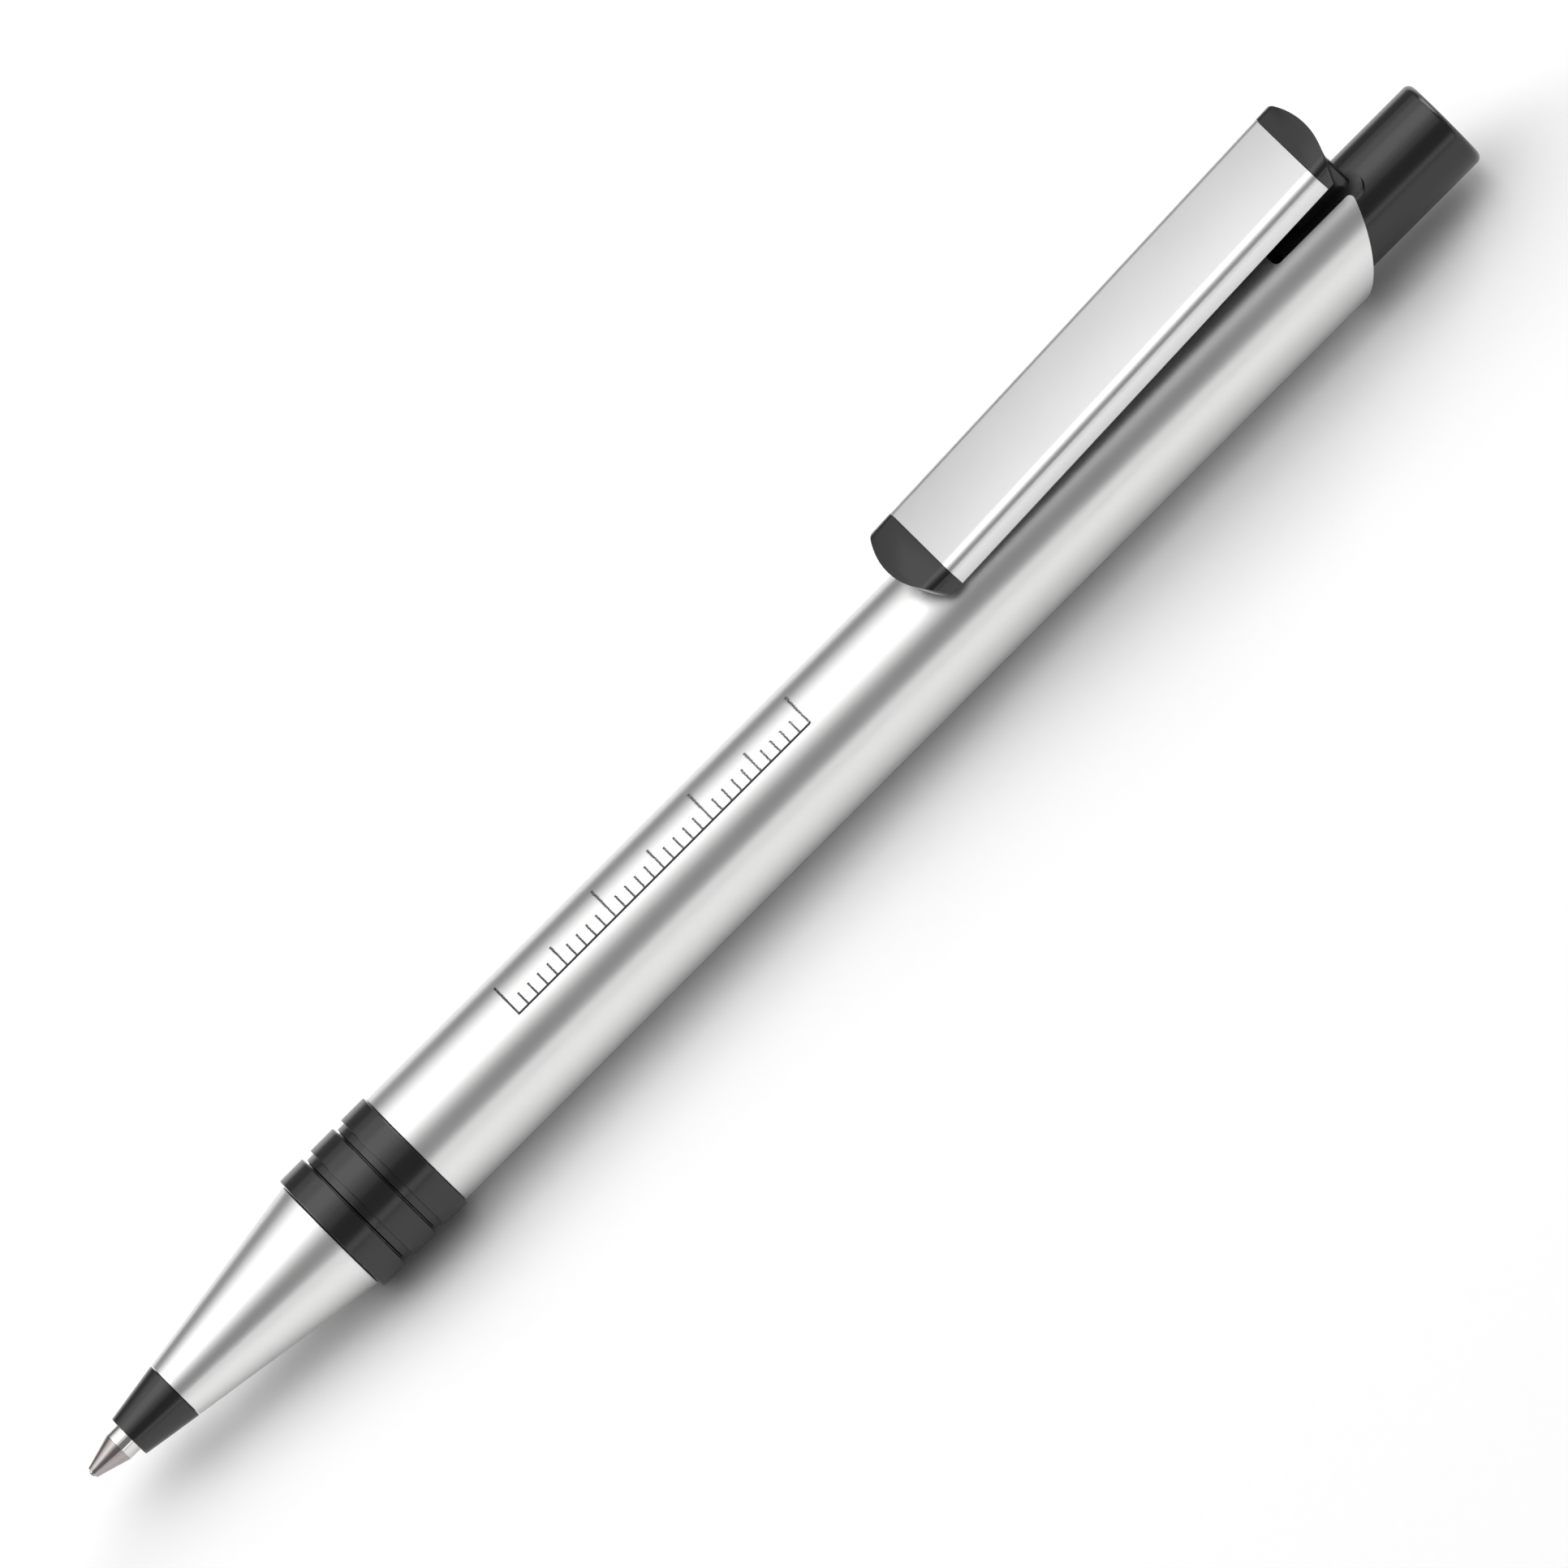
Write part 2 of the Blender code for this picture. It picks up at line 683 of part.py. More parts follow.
def make_spring():
    """A coil between the nose spigot and the shoulder of the refill."""
    first = SPIGOT_REAR + RUN + WIRE_RADIUS
    last = SHOULDER - RUN - WIRE_RADIUS
    points_a_turn = 14
    count = SPRING_TURNS * points_a_turn
    guide = bpy.data.curves.new("return_spring_path", "CURVE")
    guide.dimensions = "3D"
    guide.bevel_depth = WIRE_RADIUS
    guide.bevel_resolution = 2
    guide.use_fill_caps = True
    coil = guide.splines.new("POLY")
    coil.points.add(count)
    for i, point in enumerate(coil.points):
        turn = 2 * math.pi * i / points_a_turn
        y = SPRING_RADIUS * math.cos(turn)
        z = SPRING_RADIUS * math.sin(turn)
        point.co = (first + (last - first) * i / count, y, z, 1)
    spring = bpy.data.objects.new("return_spring", guide)
    guide.materials.append(SPRING_STEEL)
    PARTS.objects.link(spring)
    spring.location = (-OVERALL_LENGTH / 2, 0, AXIS_HEIGHT)


# ------------------------------------------------------------------- clip


def outline_solid(name, points, depth):
    """A solid with this outline in plan, from Z = 0 down to the depth."""
    curve = bpy.data.curves.new(name, "CURVE")
    curve.dimensions = "2D"
    curve.fill_mode = "BOTH"
    curve.extrude = depth / 2
    line = curve.splines.new("POLY")
    line.use_cyclic_u = True
    line.points.add(len(points) - 1)
    for point, (x, y) in zip(line.points, points):
        point.co = (x, y, 0, 1)
    drawn = bpy.data.objects.new(name + "_outline", curve)
    TOOLS.objects.link(drawn)
    drawn.location = (0, 0, -depth / 2)
    bpy.context.view_layer.update()
    graph = bpy.context.evaluated_depsgraph_get()
    mesh = bpy.data.meshes.new_from_object(drawn.evaluated_get(graph))
    mesh.transform(drawn.matrix_world)
    bpy.data.objects.remove(drawn)
    welded = bmesh.new()
    welded.from_mesh(mesh)
    bmesh.ops.remove_doubles(welded, verts=welded.verts, dist=1e-7)
    bmesh.ops.recalc_face_normals(welded, faces=welded.faces)
    welded.to_mesh(mesh)
    welded.free()
    return add_object(name, mesh)


def end_arc(radius):
    """An arc across the clip's whole width, with its crown at X = 0."""
    reach = math.asin(CLIP_WIDTH / 2 / radius)
    turns = [reach * (i / 6 - 1) for i in range(13)]
    return [(-radius * (1 - math.cos(turn)), radius * math.sin(turn)) for turn in turns]


def clip_plan():
    """The clip in plan, as a solid that its section is cut with: straight sides, and an arc at each end.

    The ends lean in towards the barrel, so the solid is longer above the clip's top face than below it.
    """
    front = [(-CLIP_LENGTH - x, -y) for x, y in end_arc(CLIP_FRONT_ARC)]
    plan = outline_solid("clip_plan", end_arc(CLIP_REAR_ARC) + front, 3 * CLIP_DEPTH)
    middle = -CLIP_LENGTH / 2
    for vertex in plan.data.vertices:
        lean = (vertex.co.z + CLIP_DEPTH) * math.tan(CLIP_END_LEAN)
        vertex.co.x += (vertex.co.x - middle) / abs(middle) * lean
    clip_frame(plan, rise=CLIP_DEPTH)
    return plan


def long_top_edges(along, middle):
    return abs(along.x) > 0.9 and middle[2] > 0


def make_clip():
    """A plastic core that flexes at its post, with a folded metal plate over it."""
    half = CLIP_WIDTH / 2
    plate_front = -CLIP_LENGTH + PLATE_SETBACK_FRONT
    plate_rear = -PLATE_SETBACK_REAR
    inner = half - PLATE_THICKNESS
    plate = block(
        "clip_plate",
        (plate_front, -half, -CLIP_DEPTH),
        (plate_rear, half, 0),
        PLATE_METAL,
        long_top_edges,
        CLIP_EDGE,
    )
    hollow = block(
        "plate_hollow",
        (plate_front - RUN, -inner, -2 * CLIP_DEPTH),
        (plate_rear + RUN, inner, -PLATE_THICKNESS),
        edges=long_top_edges,
        radius=CLIP_EDGE - PLATE_THICKNESS,
    )
    cut(plate, hollow)
    core = block(
        "clip_core",
        (-CLIP_LENGTH - RUN, -half, -CLIP_DEPTH),
        (RUN, half, 0),
        BLACK_PLASTIC,
        long_top_edges,
        CLIP_EDGE,
    )
    boolean(core, clip_plan(), "INTERSECT")
    seat = block(
        "plate_seat",
        (plate_front - SEAM, -CLIP_WIDTH, -2 * CLIP_DEPTH),
        (plate_rear + SEAM, CLIP_WIDTH, CLIP_DEPTH),
    )
    kept = block(
        "core_bar",
        (plate_front - CLIP_WIDTH, -inner + FIT, -3 * CLIP_DEPTH),
        (plate_rear + CLIP_WIDTH, inner - FIT, -PLATE_THICKNESS - FIT),
        edges=long_top_edges,
        radius=CLIP_EDGE - PLATE_THICKNESS,
    )
    cut(seat, kept)
    cut(core, seat)
    nib = clip_nib()
    join(core, nib)
    for shape in (plate, hollow, core, seat, kept, nib):
        clip_frame(shape)


def clip_nib():
    """A rounded rib under the free end that grips cloth against the barrel."""
    back = CLIP_LENGTH - PLATE_SETBACK_FRONT - NIB_RADIUS
    top_here = CLIP_HEIGHT - back * math.sin(CLIP_TILT)
    drop = top_here - BARREL_RADIUS - NIB_GAP - NIB_RADIUS
    mesh = bpy.data.meshes.new("clip_nib")
    shape = bmesh.new()
    bmesh.ops.create_cone(
        shape, cap_ends=True, segments=24, radius1=NIB_RADIUS, radius2=NIB_RADIUS, depth=NIB_WIDTH
    )
    for vertex in shape.verts:
        x, y, z = vertex.co
        vertex.co = (x - back, z, min(-y, drop / 2) - drop)
    bmesh.ops.recalc_face_normals(shape, faces=shape.faces)
    shape.to_mesh(mesh)
    shape.free()
    return add_object("clip_nib", mesh)


CLIP_PIVOT = add_clip_pivot()

make_nose()
make_grip_ring()
make_coupling()
make_barrel()
make_sleeve()
make_guide()
make_button()
make_thrust_cam()
make_rotor()
make_refill()
make_spring()
make_clip()
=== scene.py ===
import json
import math

import bmesh
import bpy
from mathutils import Matrix, Vector


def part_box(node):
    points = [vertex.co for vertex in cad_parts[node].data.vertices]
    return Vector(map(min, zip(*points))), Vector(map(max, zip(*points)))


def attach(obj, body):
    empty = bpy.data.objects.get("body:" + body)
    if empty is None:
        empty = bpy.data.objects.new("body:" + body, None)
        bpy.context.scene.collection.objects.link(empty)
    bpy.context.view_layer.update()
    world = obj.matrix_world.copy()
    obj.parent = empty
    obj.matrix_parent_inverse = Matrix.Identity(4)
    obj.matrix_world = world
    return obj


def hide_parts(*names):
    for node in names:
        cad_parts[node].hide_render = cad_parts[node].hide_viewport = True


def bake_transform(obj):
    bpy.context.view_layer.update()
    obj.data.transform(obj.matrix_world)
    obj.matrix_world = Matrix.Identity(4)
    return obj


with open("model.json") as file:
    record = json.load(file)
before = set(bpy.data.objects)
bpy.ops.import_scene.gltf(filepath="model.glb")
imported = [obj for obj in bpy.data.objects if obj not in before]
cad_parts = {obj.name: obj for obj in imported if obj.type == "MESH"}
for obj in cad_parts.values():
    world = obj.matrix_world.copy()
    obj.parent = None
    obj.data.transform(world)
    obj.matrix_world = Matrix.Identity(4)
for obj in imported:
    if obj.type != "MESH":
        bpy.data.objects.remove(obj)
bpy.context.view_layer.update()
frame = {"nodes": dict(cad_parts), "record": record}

# Everything is in metres. The pen lies along X with its writing point towards -X, and the clip is on top.
MM = 0.001
RING_LOW, RING_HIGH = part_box("grip_ring")
AXIS = (RING_LOW.z + RING_HIGH.z) / 2  # the height of the pen's axis
ROUND = 192  # steps round a turned piece
FINE_ROUND = 256  # steps round the barrel and the cone
TIP_ROUND = 128  # steps round the refill's point
TIP_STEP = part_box("writing_ball")[0].x + 2.91 * MM  # where the tip's cone meets its cylinder

# --------------------------------------------------------------- node arithmetic


class Wire:
    """The output of a node. Arithmetic on wires adds Math nodes, and node() adds any other one."""

    def __init__(self, tree, socket=None):
        self.tree = tree
        self.socket = socket

    def node(self, kind, settings=None, inputs=None, output=0):
        made = self.tree.nodes.new(kind)
        for name, value in (settings or {}).items():
            setattr(made, name, value)
        for name, value in (inputs or {}).items():
            self.feed(made.inputs[name], value)
        return Wire(self.tree, made.outputs[output])

    def feed(self, target, value):
        """Gives an input a wire to follow, or a value of its own."""
        if isinstance(value, Wire):
            self.tree.links.new(value.socket, target)
        else:
            target.default_value = value

    def sum_of(self, operation, *values):
        return self.node("ShaderNodeMath", {"operation": operation}, dict(enumerate(values)))

    def __add__(self, other):
        return self.sum_of("ADD", self, other)

    def __radd__(self, other):
        return self.sum_of("ADD", other, self)

    def __sub__(self, other):
        return self.sum_of("SUBTRACT", self, other)

    def __rsub__(self, other):
        return self.sum_of("SUBTRACT", other, self)

    def __mul__(self, other):
        return self.sum_of("MULTIPLY", self, other)

    def __rmul__(self, other):
        return self.sum_of("MULTIPLY", other, self)

    def __truediv__(self, other):
        return self.sum_of("DIVIDE", self, other)

    def __rtruediv__(self, other):
        return self.sum_of("DIVIDE", other, self)

    def __mod__(self, other):
        return self.sum_of("FLOORED_MODULO", self, other)

    def __gt__(self, other):
        return self.sum_of("GREATER_THAN", self, other)

    def __lt__(self, other):
        return self.sum_of("LESS_THAN", self, other)

    def __abs__(self):
        return self.sum_of("ABSOLUTE", self)

    def least(self, other):
        return self.sum_of("MINIMUM", self, other)

    def most(self, other):
        return self.sum_of("MAXIMUM", self, other)

    def sin(self):
        return self.sum_of("SINE", self)

    def cos(self):
        return self.sum_of("COSINE", self)

    def sqrt(self):
        return self.sum_of("SQRT", self)

    def noise(self, scale, detail=2.0, roughness=0.5):
        """Noise read at this place, from 0 to 1."""
        inputs = {"Vector": self, "Scale": scale, "Detail": detail, "Roughness": roughness}
        return self.node("ShaderNodeTexNoise", {"noise_dimensions": "3D"}, inputs, "Fac")

    def stretched(self, x, y, z):
        """This place with each direction scaled, for a pattern that is longer one way."""
        return self.node("ShaderNodeMapping", None, {"Vector": self, "Scale": (x, y, z)})

    def between(self, low, high):
        """0 below low, 1 above high, and a smooth step between them."""
        inputs = {"Value": self, "From Min": low, "From Max": high}
        return self.node("ShaderNodeMapRange", {"interpolation_type": "SMOOTHSTEP"}, inputs)

    def blend(self, first, second):
        """The first colour where this is 0 and the second where it is 1."""
        settings = {"data_type": "RGBA"}
        inputs = {"Factor": self, 6: first, 7: second}
        return self.node("ShaderNodeMix", settings, inputs, 2)

    def bump(self, distance):
        """This as a height, in relief as deep as distance."""
        inputs = {"Strength": 1.0, "Distance": distance, "Height": self}
        return self.node("ShaderNodeBump", None, inputs)

    def part(self, letter):
        """X, Y or Z of a place."""
        return self.node("ShaderNodeSeparateXYZ", None, {0: self}, letter)


class Finish:
    """A material with one Principled shader, and the place on the piece that its patterns read."""

    def __init__(self, name, colour, roughness, metallic=0.0):
        self.material = bpy.data.materials.new(name)
        self.material.use_nodes = True
        tree = self.material.node_tree
        self.shader = tree.nodes["Principled BSDF"]
        self.wire = Wire(tree)
        self.place = self.wire.node("ShaderNodeTexCoord", output="Object")
        self.set("Base Color", (*colour, 1))
        self.set("Roughness", roughness)
        self.set("Metallic", metallic)

    def set(self, name, value):
        self.wire.feed(self.shader.inputs[name], value)


def shade(colour, factor):
    """A lighter or darker step of a colour, with its alpha."""
    return tuple(min(1.0, part * factor) for part in colour) + (1,)


# --------------------------------------------------------------------- finishes


def satin_silver(name, printed=False):
    """Blasted and lacquered aluminium: an even satin with a very fine grain, and a printed scale if asked."""
    silver = (0.80, 0.80, 0.795)
    made = Finish(name, silver, 0.30, 1.0)
    grain = made.place.noise(14000, 2)
    cloud = made.place.noise(160, 3)
    colour = (grain * 0.6 + cloud * 0.4).blend(shade(silver, 0.96), shade(silver, 1.03))
    roughness = 0.27 + cloud * 0.05 + grain * 0.05
    if printed:
        print_black = (0.010, 0.010, 0.010, 1)
        printing = printed_scale(made.place)
        colour = printing.blend(colour, print_black)
        roughness = roughness + printing * (0.12 + grain * 0.05)
        made.set("Metallic", 1 - printing)
    made.set("Base Color", colour)
    made.set("Roughness", roughness)
    made.set("Normal", grain.bump(1.2e-6))
    return made.material


# The printed scale, in millimetres. It starts at an X, and its ticks stand on a base line beside the top.
SCALE_START = -24.0
SCALE_LENGTH = 30.0
SCALE_BASE = -2.3
BARREL_ROUND = 5.13
LINE_HALF = 0.09
TICK = 1.3
FIVE_MORE = 0.9
TEN_MORE = 1.2


def printed_scale(place):
    """A plain ruled scale along the top of the barrel: 1 where it is printed and 0 elsewhere."""
    along = place.part("X") / MM - SCALE_START
    across = place.part("Y")
    turn = across.sum_of("ARCTAN2", across, place.part("Z") - AXIS)
    up = turn * BARREL_ROUND - SCALE_BASE
    near_five = near_multiple(along, 5, 0.3)
    near_ten = near_multiple(along, 10, 0.3)
    length = TICK + near_five * FIVE_MORE + near_ten * TEN_MORE
    ticks = near_multiple(along, 1, LINE_HALF) * (up > 0) * (up < length)
    base_line = abs(up) < LINE_HALF
    return ticks.most(base_line) * (along > -LINE_HALF) * (along < SCALE_LENGTH + LINE_HALF)


def near_multiple(value, step, reach):
    """1 within reach of a whole number of steps, and 0 elsewhere."""
    return abs((value + step / 2) % step - step / 2) < reach


def brushed_plate():
    """Sheet metal with a fine lengthwise brushing."""
    steel = (0.80, 0.80, 0.80)
    made = Finish("brushed_plate", steel, 0.32, 1.0)
    strokes = made.place.stretched(700, 16000, 16000).noise(1, 3, 0.6)
    cloud = made.place.noise(220, 2)
    made.set("Base Color", (strokes * 0.5 + cloud * 0.5).blend(shade(steel, 0.95), shade(steel, 1.02)))
    made.set("Roughness", 0.26 + strokes * 0.12 + cloud * 0.04)
    made.set("Normal", strokes.bump(1.5e-6))
    return made.material


def black_plastic():
    """Moulded plastic with a low sheen: slight waves from the mould and a fine skin."""
    black = (0.008, 0.0075, 0.0075)
    made = Finish("black_plastic", black, 0.30)
    skin = made.place.noise(9000, 2)
    waves = made.place.noise(260, 2)
    made.set("Base Color", waves.blend(shade(black, 0.85), shade(black, 1.2)))
    made.set("Roughness", 0.16 + waves * 0.05 + skin * 0.06)
    made.set("Normal", (skin * 0.7 + waves * 3).bump(1.0e-6))
    made.set("IOR", 1.52)
    made.set("Specular IOR Level", 0.6)
    return made.material


def natural_plastic():
    """The uncoloured plastic of the hidden latch: milky and a little uneven."""
    milk = (0.72, 0.72, 0.69)
    made = Finish("natural_plastic", milk, 0.42)
    cloud = made.place.noise(500, 3)
    made.set("Base Color", cloud.blend(shade(milk, 0.93), shade(milk, 1.04)))
    made.set("Roughness", 0.36 + cloud * 0.12)
    return made.material


def turned_metal(name, colour, roughness, groove):
    """Metal from the lathe, with fine rings round it."""
    made = Finish(name, colour, roughness, 1.0)
    rings = made.place.stretched(30000, 120, 120).noise(1, 2, 0.6)
    made.set("Base Color", rings.blend(shade(colour, 0.92), shade(colour, 1.05)))
    made.set("Roughness", roughness * 0.8 + rings * roughness * 0.5)
    made.set("Normal", rings.bump(groove))
    return made.material


def turned_tip():
    """Nickel silver from the lathe: bare and a little rougher on the cone, and polished behind it."""
    bare = (0.44, 0.40, 0.39)
    polished = (0.74, 0.73, 0.72)
    made = Finish("nickel_silver", polished, 0.08, 1.0)
    rings = made.place.stretched(30000, 120, 120).noise(1, 2, 0.6)
    cone = made.place.part("X") < TIP_STEP
    front = rings.blend(shade(bare, 0.85), shade(bare, 1.1))
    made.set("Base Color", cone.blend(rings.blend(shade(polished, 0.95), shade(polished, 1.03)), front))
    made.set("Roughness", 0.07 + rings * 0.03 + cone * (0.09 + rings * 0.08))
    made.set("Normal", rings.bump(1.5e-6))
    return made.material


def drawn_metal(name, colour, roughness):
    """Wire or tube with faint lengthwise draw marks."""
    made = Finish(name, colour, roughness, 1.0)
    lines = made.place.stretched(300, 9000, 9000).noise(1, 2, 0.5)
    made.set("Base Color", lines.blend(shade(colour, 0.9), shade(colour, 1.05)))
    made.set("Roughness", roughness * 0.8 + lines * roughness * 0.5)
    return made.material


def ink():
    """Dark blue ink, seen only with the refill open."""
    blue = (0.012, 0.016, 0.075)
    made = Finish("ink", blue, 0.15)
    cloud = made.place.noise(700, 2)
    made.set("Base Color", cloud.blend(shade(blue, 0.8), shade(blue, 1.2)))
    return made.material


FINISHES = {
    "satin_silver": satin_silver("satin_silver"),
    "brushed_plate": brushed_plate(),
    "black_plastic": black_plastic(),
    "natural_plastic": natural_plastic(),
    "refill_steel": drawn_metal("refill_steel", (0.66, 0.65, 0.62), 0.25),
    "nickel_silver": turned_tip(),
    "carbide": turned_metal("carbide", (0.34, 0.34, 0.345), 0.12, 2.0e-7),
    "ink": ink(),
    "spring_steel": drawn_metal("spring_steel", (0.62, 0.62, 0.62), 0.22),
}
SLOT_OF = {part["node"]: part["material_slot"] for part in frame["record"]["subparts"]}
BODY_OF = {node: body for body, nodes in frame["record"]["behaviour"]["bodies"].items() for node in nodes}

# -------------------------------------------------------------------- mesh work

SLIVER = 0.002 * MM  # points closer than this after a Boolean are one point


def ends(node):
    """Where a CAD node starts and stops along the pen."""
    low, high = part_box(node)
    return low.x, high.x


def radius_of(node):
    """The radius of a round CAD node."""
    low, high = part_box(node)
    return (high.y - low.y) / 2


def soften(corners, closed=True, steps=6):
    """Corner points as (u, v, fillet), with each fillet drawn as an arc."""
    points = []
    count = len(corners)
    for i, (u, v, fillet) in enumerate(corners):
        here = Vector((u, v))
        if not fillet or (not closed and i in (0, count - 1)):
            points.append(here)
            continue
        before = (Vector(corners[i - 1][:2]) - here).normalized()
        after = (Vector(corners[(i + 1) % count][:2]) - here).normalized()
        half = before.angle(after) / 2
        reach = fillet / math.tan(half)
        centre = here + (before + after).normalized() * (fillet / math.sin(half))
        start = here + before * reach - centre
        stop = here + after * reach - centre
        sweep = start.angle_signed(stop)
        for k in range(steps + 1):
            turn = -sweep * k / steps
            spun = Vector(
                (
                    start.x * math.cos(turn) - start.y * math.sin(turn),
                    start.x * math.sin(turn) + start.y * math.cos(turn),
                )
            )
            points.append(centre + spun)
    return points


def turned(corners, steps=ROUND, fillet_steps=6):
    """A lathe shape round the pen's axis, from (x, radius, fillet) corners. A solid starts and ends on the
    axis, and any other outline closes on itself."""
    solid = corners[0][1] == 0
    points = soften(corners, closed=not solid, steps=fillet_steps)
    shape = bmesh.new()
    rim = [shape.verts.new((p.x, 0, AXIS + p.y)) for p in points]
    for one, other in zip(rim, rim[1:]):
        shape.edges.new((one, other))
    if not solid:
        shape.edges.new((rim[-1], rim[0]))
    bmesh.ops.spin(
        shape,
        geom=shape.verts[:] + shape.edges[:],
        cent=(0, 0, AXIS),
        axis=(1, 0, 0),
        angle=2 * math.pi,
        steps=steps,
        use_merge=True,
    )
    bmesh.ops.remove_doubles(shape, verts=shape.verts, dist=2e-7)
    bmesh.ops.recalc_face_normals(shape, faces=shape.faces)
    return shape


def prism(outline, bottom, top):
    """An outline in plan, made a solid between two heights."""
    shape = bmesh.new()
    face = shape.faces.new([shape.verts.new((p.x, p.y, bottom)) for p in outline])
    pushed = bmesh.ops.extrude_face_region(shape, geom=[face])["geom"]
    lifted = [part for part in pushed if isinstance(part, bmesh.types.BMVert)]
    bmesh.ops.translate(shape, verts=lifted, vec=(0, 0, top - bottom))
    bmesh.ops.recalc_face_normals(shape, faces=shape.faces)
    return shape


def as_object(name, shape, place=None):
    """An object of this shape at the origin, with its place, if any, in its mesh."""
    mesh = bpy.data.meshes.new(name)
    shape.to_mesh(mesh)
    shape.free()
    if place:
        mesh.transform(place)
    made = bpy.data.objects.new(name, mesh)
    bpy.context.scene.collection.objects.link(made)
    return made


def carved(made, *steps):
    """Applies Booleans, given as (operation, other object), and removes the other objects."""
    for operation, other in steps:
        cut = made.modifiers.new("cut", "BOOLEAN")
        cut.operation = operation
        cut.solver = "EXACT"
        cut.object = other
    settle(made)
    for _, other in steps:
        bpy.data.objects.remove(other)


def settle(made):
    """Makes what the modifiers show the object's own mesh."""
    graph = bpy.context.evaluated_depsgraph_get()
    graph.update()
    mesh = bpy.data.meshes.new_from_object(made.evaluated_get(graph))
    made.modifiers.clear()
    old = made.data
    made.data = mesh
    bpy.data.meshes.remove(old)


def face_outwards(made, merge=0.0):
    """Turns every face outwards, after merging points that a Boolean left closer together than merge."""
    shape = bmesh.new()
    shape.from_mesh(made.data)
    if merge:
        bmesh.ops.remove_doubles(shape, verts=shape.verts, dist=merge)
        bmesh.ops.dissolve_degenerate(shape, edges=shape.edges, dist=merge)
    bmesh.ops.recalc_face_normals(shape, faces=shape.faces)
    shape.to_mesh(made.data)
    shape.free()


def ease_edges(made, width):
    """Breaks the sharp edges of a piece."""
    bevel = made.modifiers.new("edges", "BEVEL")
    bevel.width = width
    bevel.segments = 2
    bevel.limit_method = "ANGLE"
    bevel.angle_limit = math.radians(40)
    bevel.use_clamp_overlap = True
    bevel.harden_normals = False
    settle(made)


def dress(made, node, sharp=30, finish=None, spans=None):
    """Gives a finished piece its finish and a name after the CAD node that it stands for, hides that node,
    and attaches the piece to its body.
    A piece that spans two bodies keeps its place in the world instead of riding on one."""
    made.name = made.data.name = node + "_finished"
    made.data.materials.clear()
    made.data.materials.append(finish or FINISHES[SLOT_OF[node]])
    made.data.shade_smooth()
    made.data.set_sharp_from_angle(angle=math.radians(sharp))
    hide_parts(node)
    if spans:
        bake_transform(made)
    else:
        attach(made, BODY_OF[node])


# ------------------------------------------------------- front: tip, nose and cone


def make_refill_tip():
    """The turned point: a long cone, a bright cylinder and the shank inside the tube."""
    front, rear = ends("refill_tip")
    ball_rear = ends("writing_ball")[1]
    radius = radius_of("refill_tip")
    ball = radius_of("writing_ball")
    socket = ball + 0.03 * MM
    lip = ball + 0.12 * MM
    neck, neck_radius = front + 0.55 * MM, 0.62 * MM
    shoulder = ends("refill_tube")[0] - 0.05 * MM
    shank = 1.08 * MM
    channel = 0.27 * MM
    ball_seat = ball_rear + 0.05 * MM
    corners = [
        (front, socket, 0),
        (front, lip, 0.06 * MM),
        (neck, neck_radius, 0.5 * MM),
        (TIP_STEP, radius, 0.06 * MM),
        (shoulder, radius, 0.05 * MM),
        (shoulder, shank, 0),
        (rear, shank, 0.1 * MM),
        (rear, channel, 0),
        (ball_seat, channel, 0),
        (ball_seat, socket, 0),
    ]
    dress(as_object("tip", turned(corners, TIP_ROUND)), "refill_tip")


def make_ball():
    """The ball, with its poles along the pen."""
    front, rear = ends("writing_ball")
    shape = bmesh.new()
    bmesh.ops.create_uvsphere(shape, u_segments=64, v_segments=32, radius=radius_of("writing_ball"))
    middle = Matrix.Translation(((front + rear) / 2, 0, AXIS))
    dress(as_object("ball", shape, middle @ Matrix.Rotation(math.pi / 2, 4, "Y")), "writing_ball")


NOSE_SPIGOT = 2.08 * MM  # the radius of the nose's tail, which the cone's front fits over


def make_nose():
    """The black nose: an open mouth, a tapered front and the tail inside the cone."""
    front, rear = ends("nose_tip")
    cone_front = ends("front_cone")[0]
    seam = cone_front - 0.08 * MM
    mouth = 1.375 * MM
    front_radius = bore = 1.78 * MM
    step = cone_front + 0.2 * MM
    corners = [
        (front, mouth, 0.05 * MM),
        (front, front_radius, 0.10 * MM),
        (seam, radius_of("nose_tip"), 0.05 * MM),
        (seam, NOSE_SPIGOT, 0),
        (rear, NOSE_SPIGOT, 0.1 * MM),
        (rear, bore, 0),
        (step, bore, 0),
        (step, mouth, 0),
    ]
    dress(as_object("nose", turned(corners)), "nose_tip")


def make_cone():
    """The metal cone, an even shell behind the nose's tail."""
    front, rear = ends("front_cone")
    nose_rear = ends("nose_tip")[1]
    small = radius_of("nose_tip")
    big = radius_of("front_cone")
    wall = 0.42 * MM
    socket = NOSE_SPIGOT + 0.05 * MM
    spring_seat = nose_rear + 0.5 * MM
    slope = (big - small) / (rear - front)
    corners = [
        (front, small, 0.04 * MM),
        (rear, big, 0.12 * MM),
        (rear, big - wall, 0),
        (spring_seat, small + slope * (spring_seat - front) - wall, 0),
        (nose_rear - 0.1 * MM, socket, 0),
        (front, socket, 0),
    ]
    dress(as_object("cone", turned(corners, FINE_ROUND)), "front_cone")


# -------------------------------------------------------------- grip ring by rule


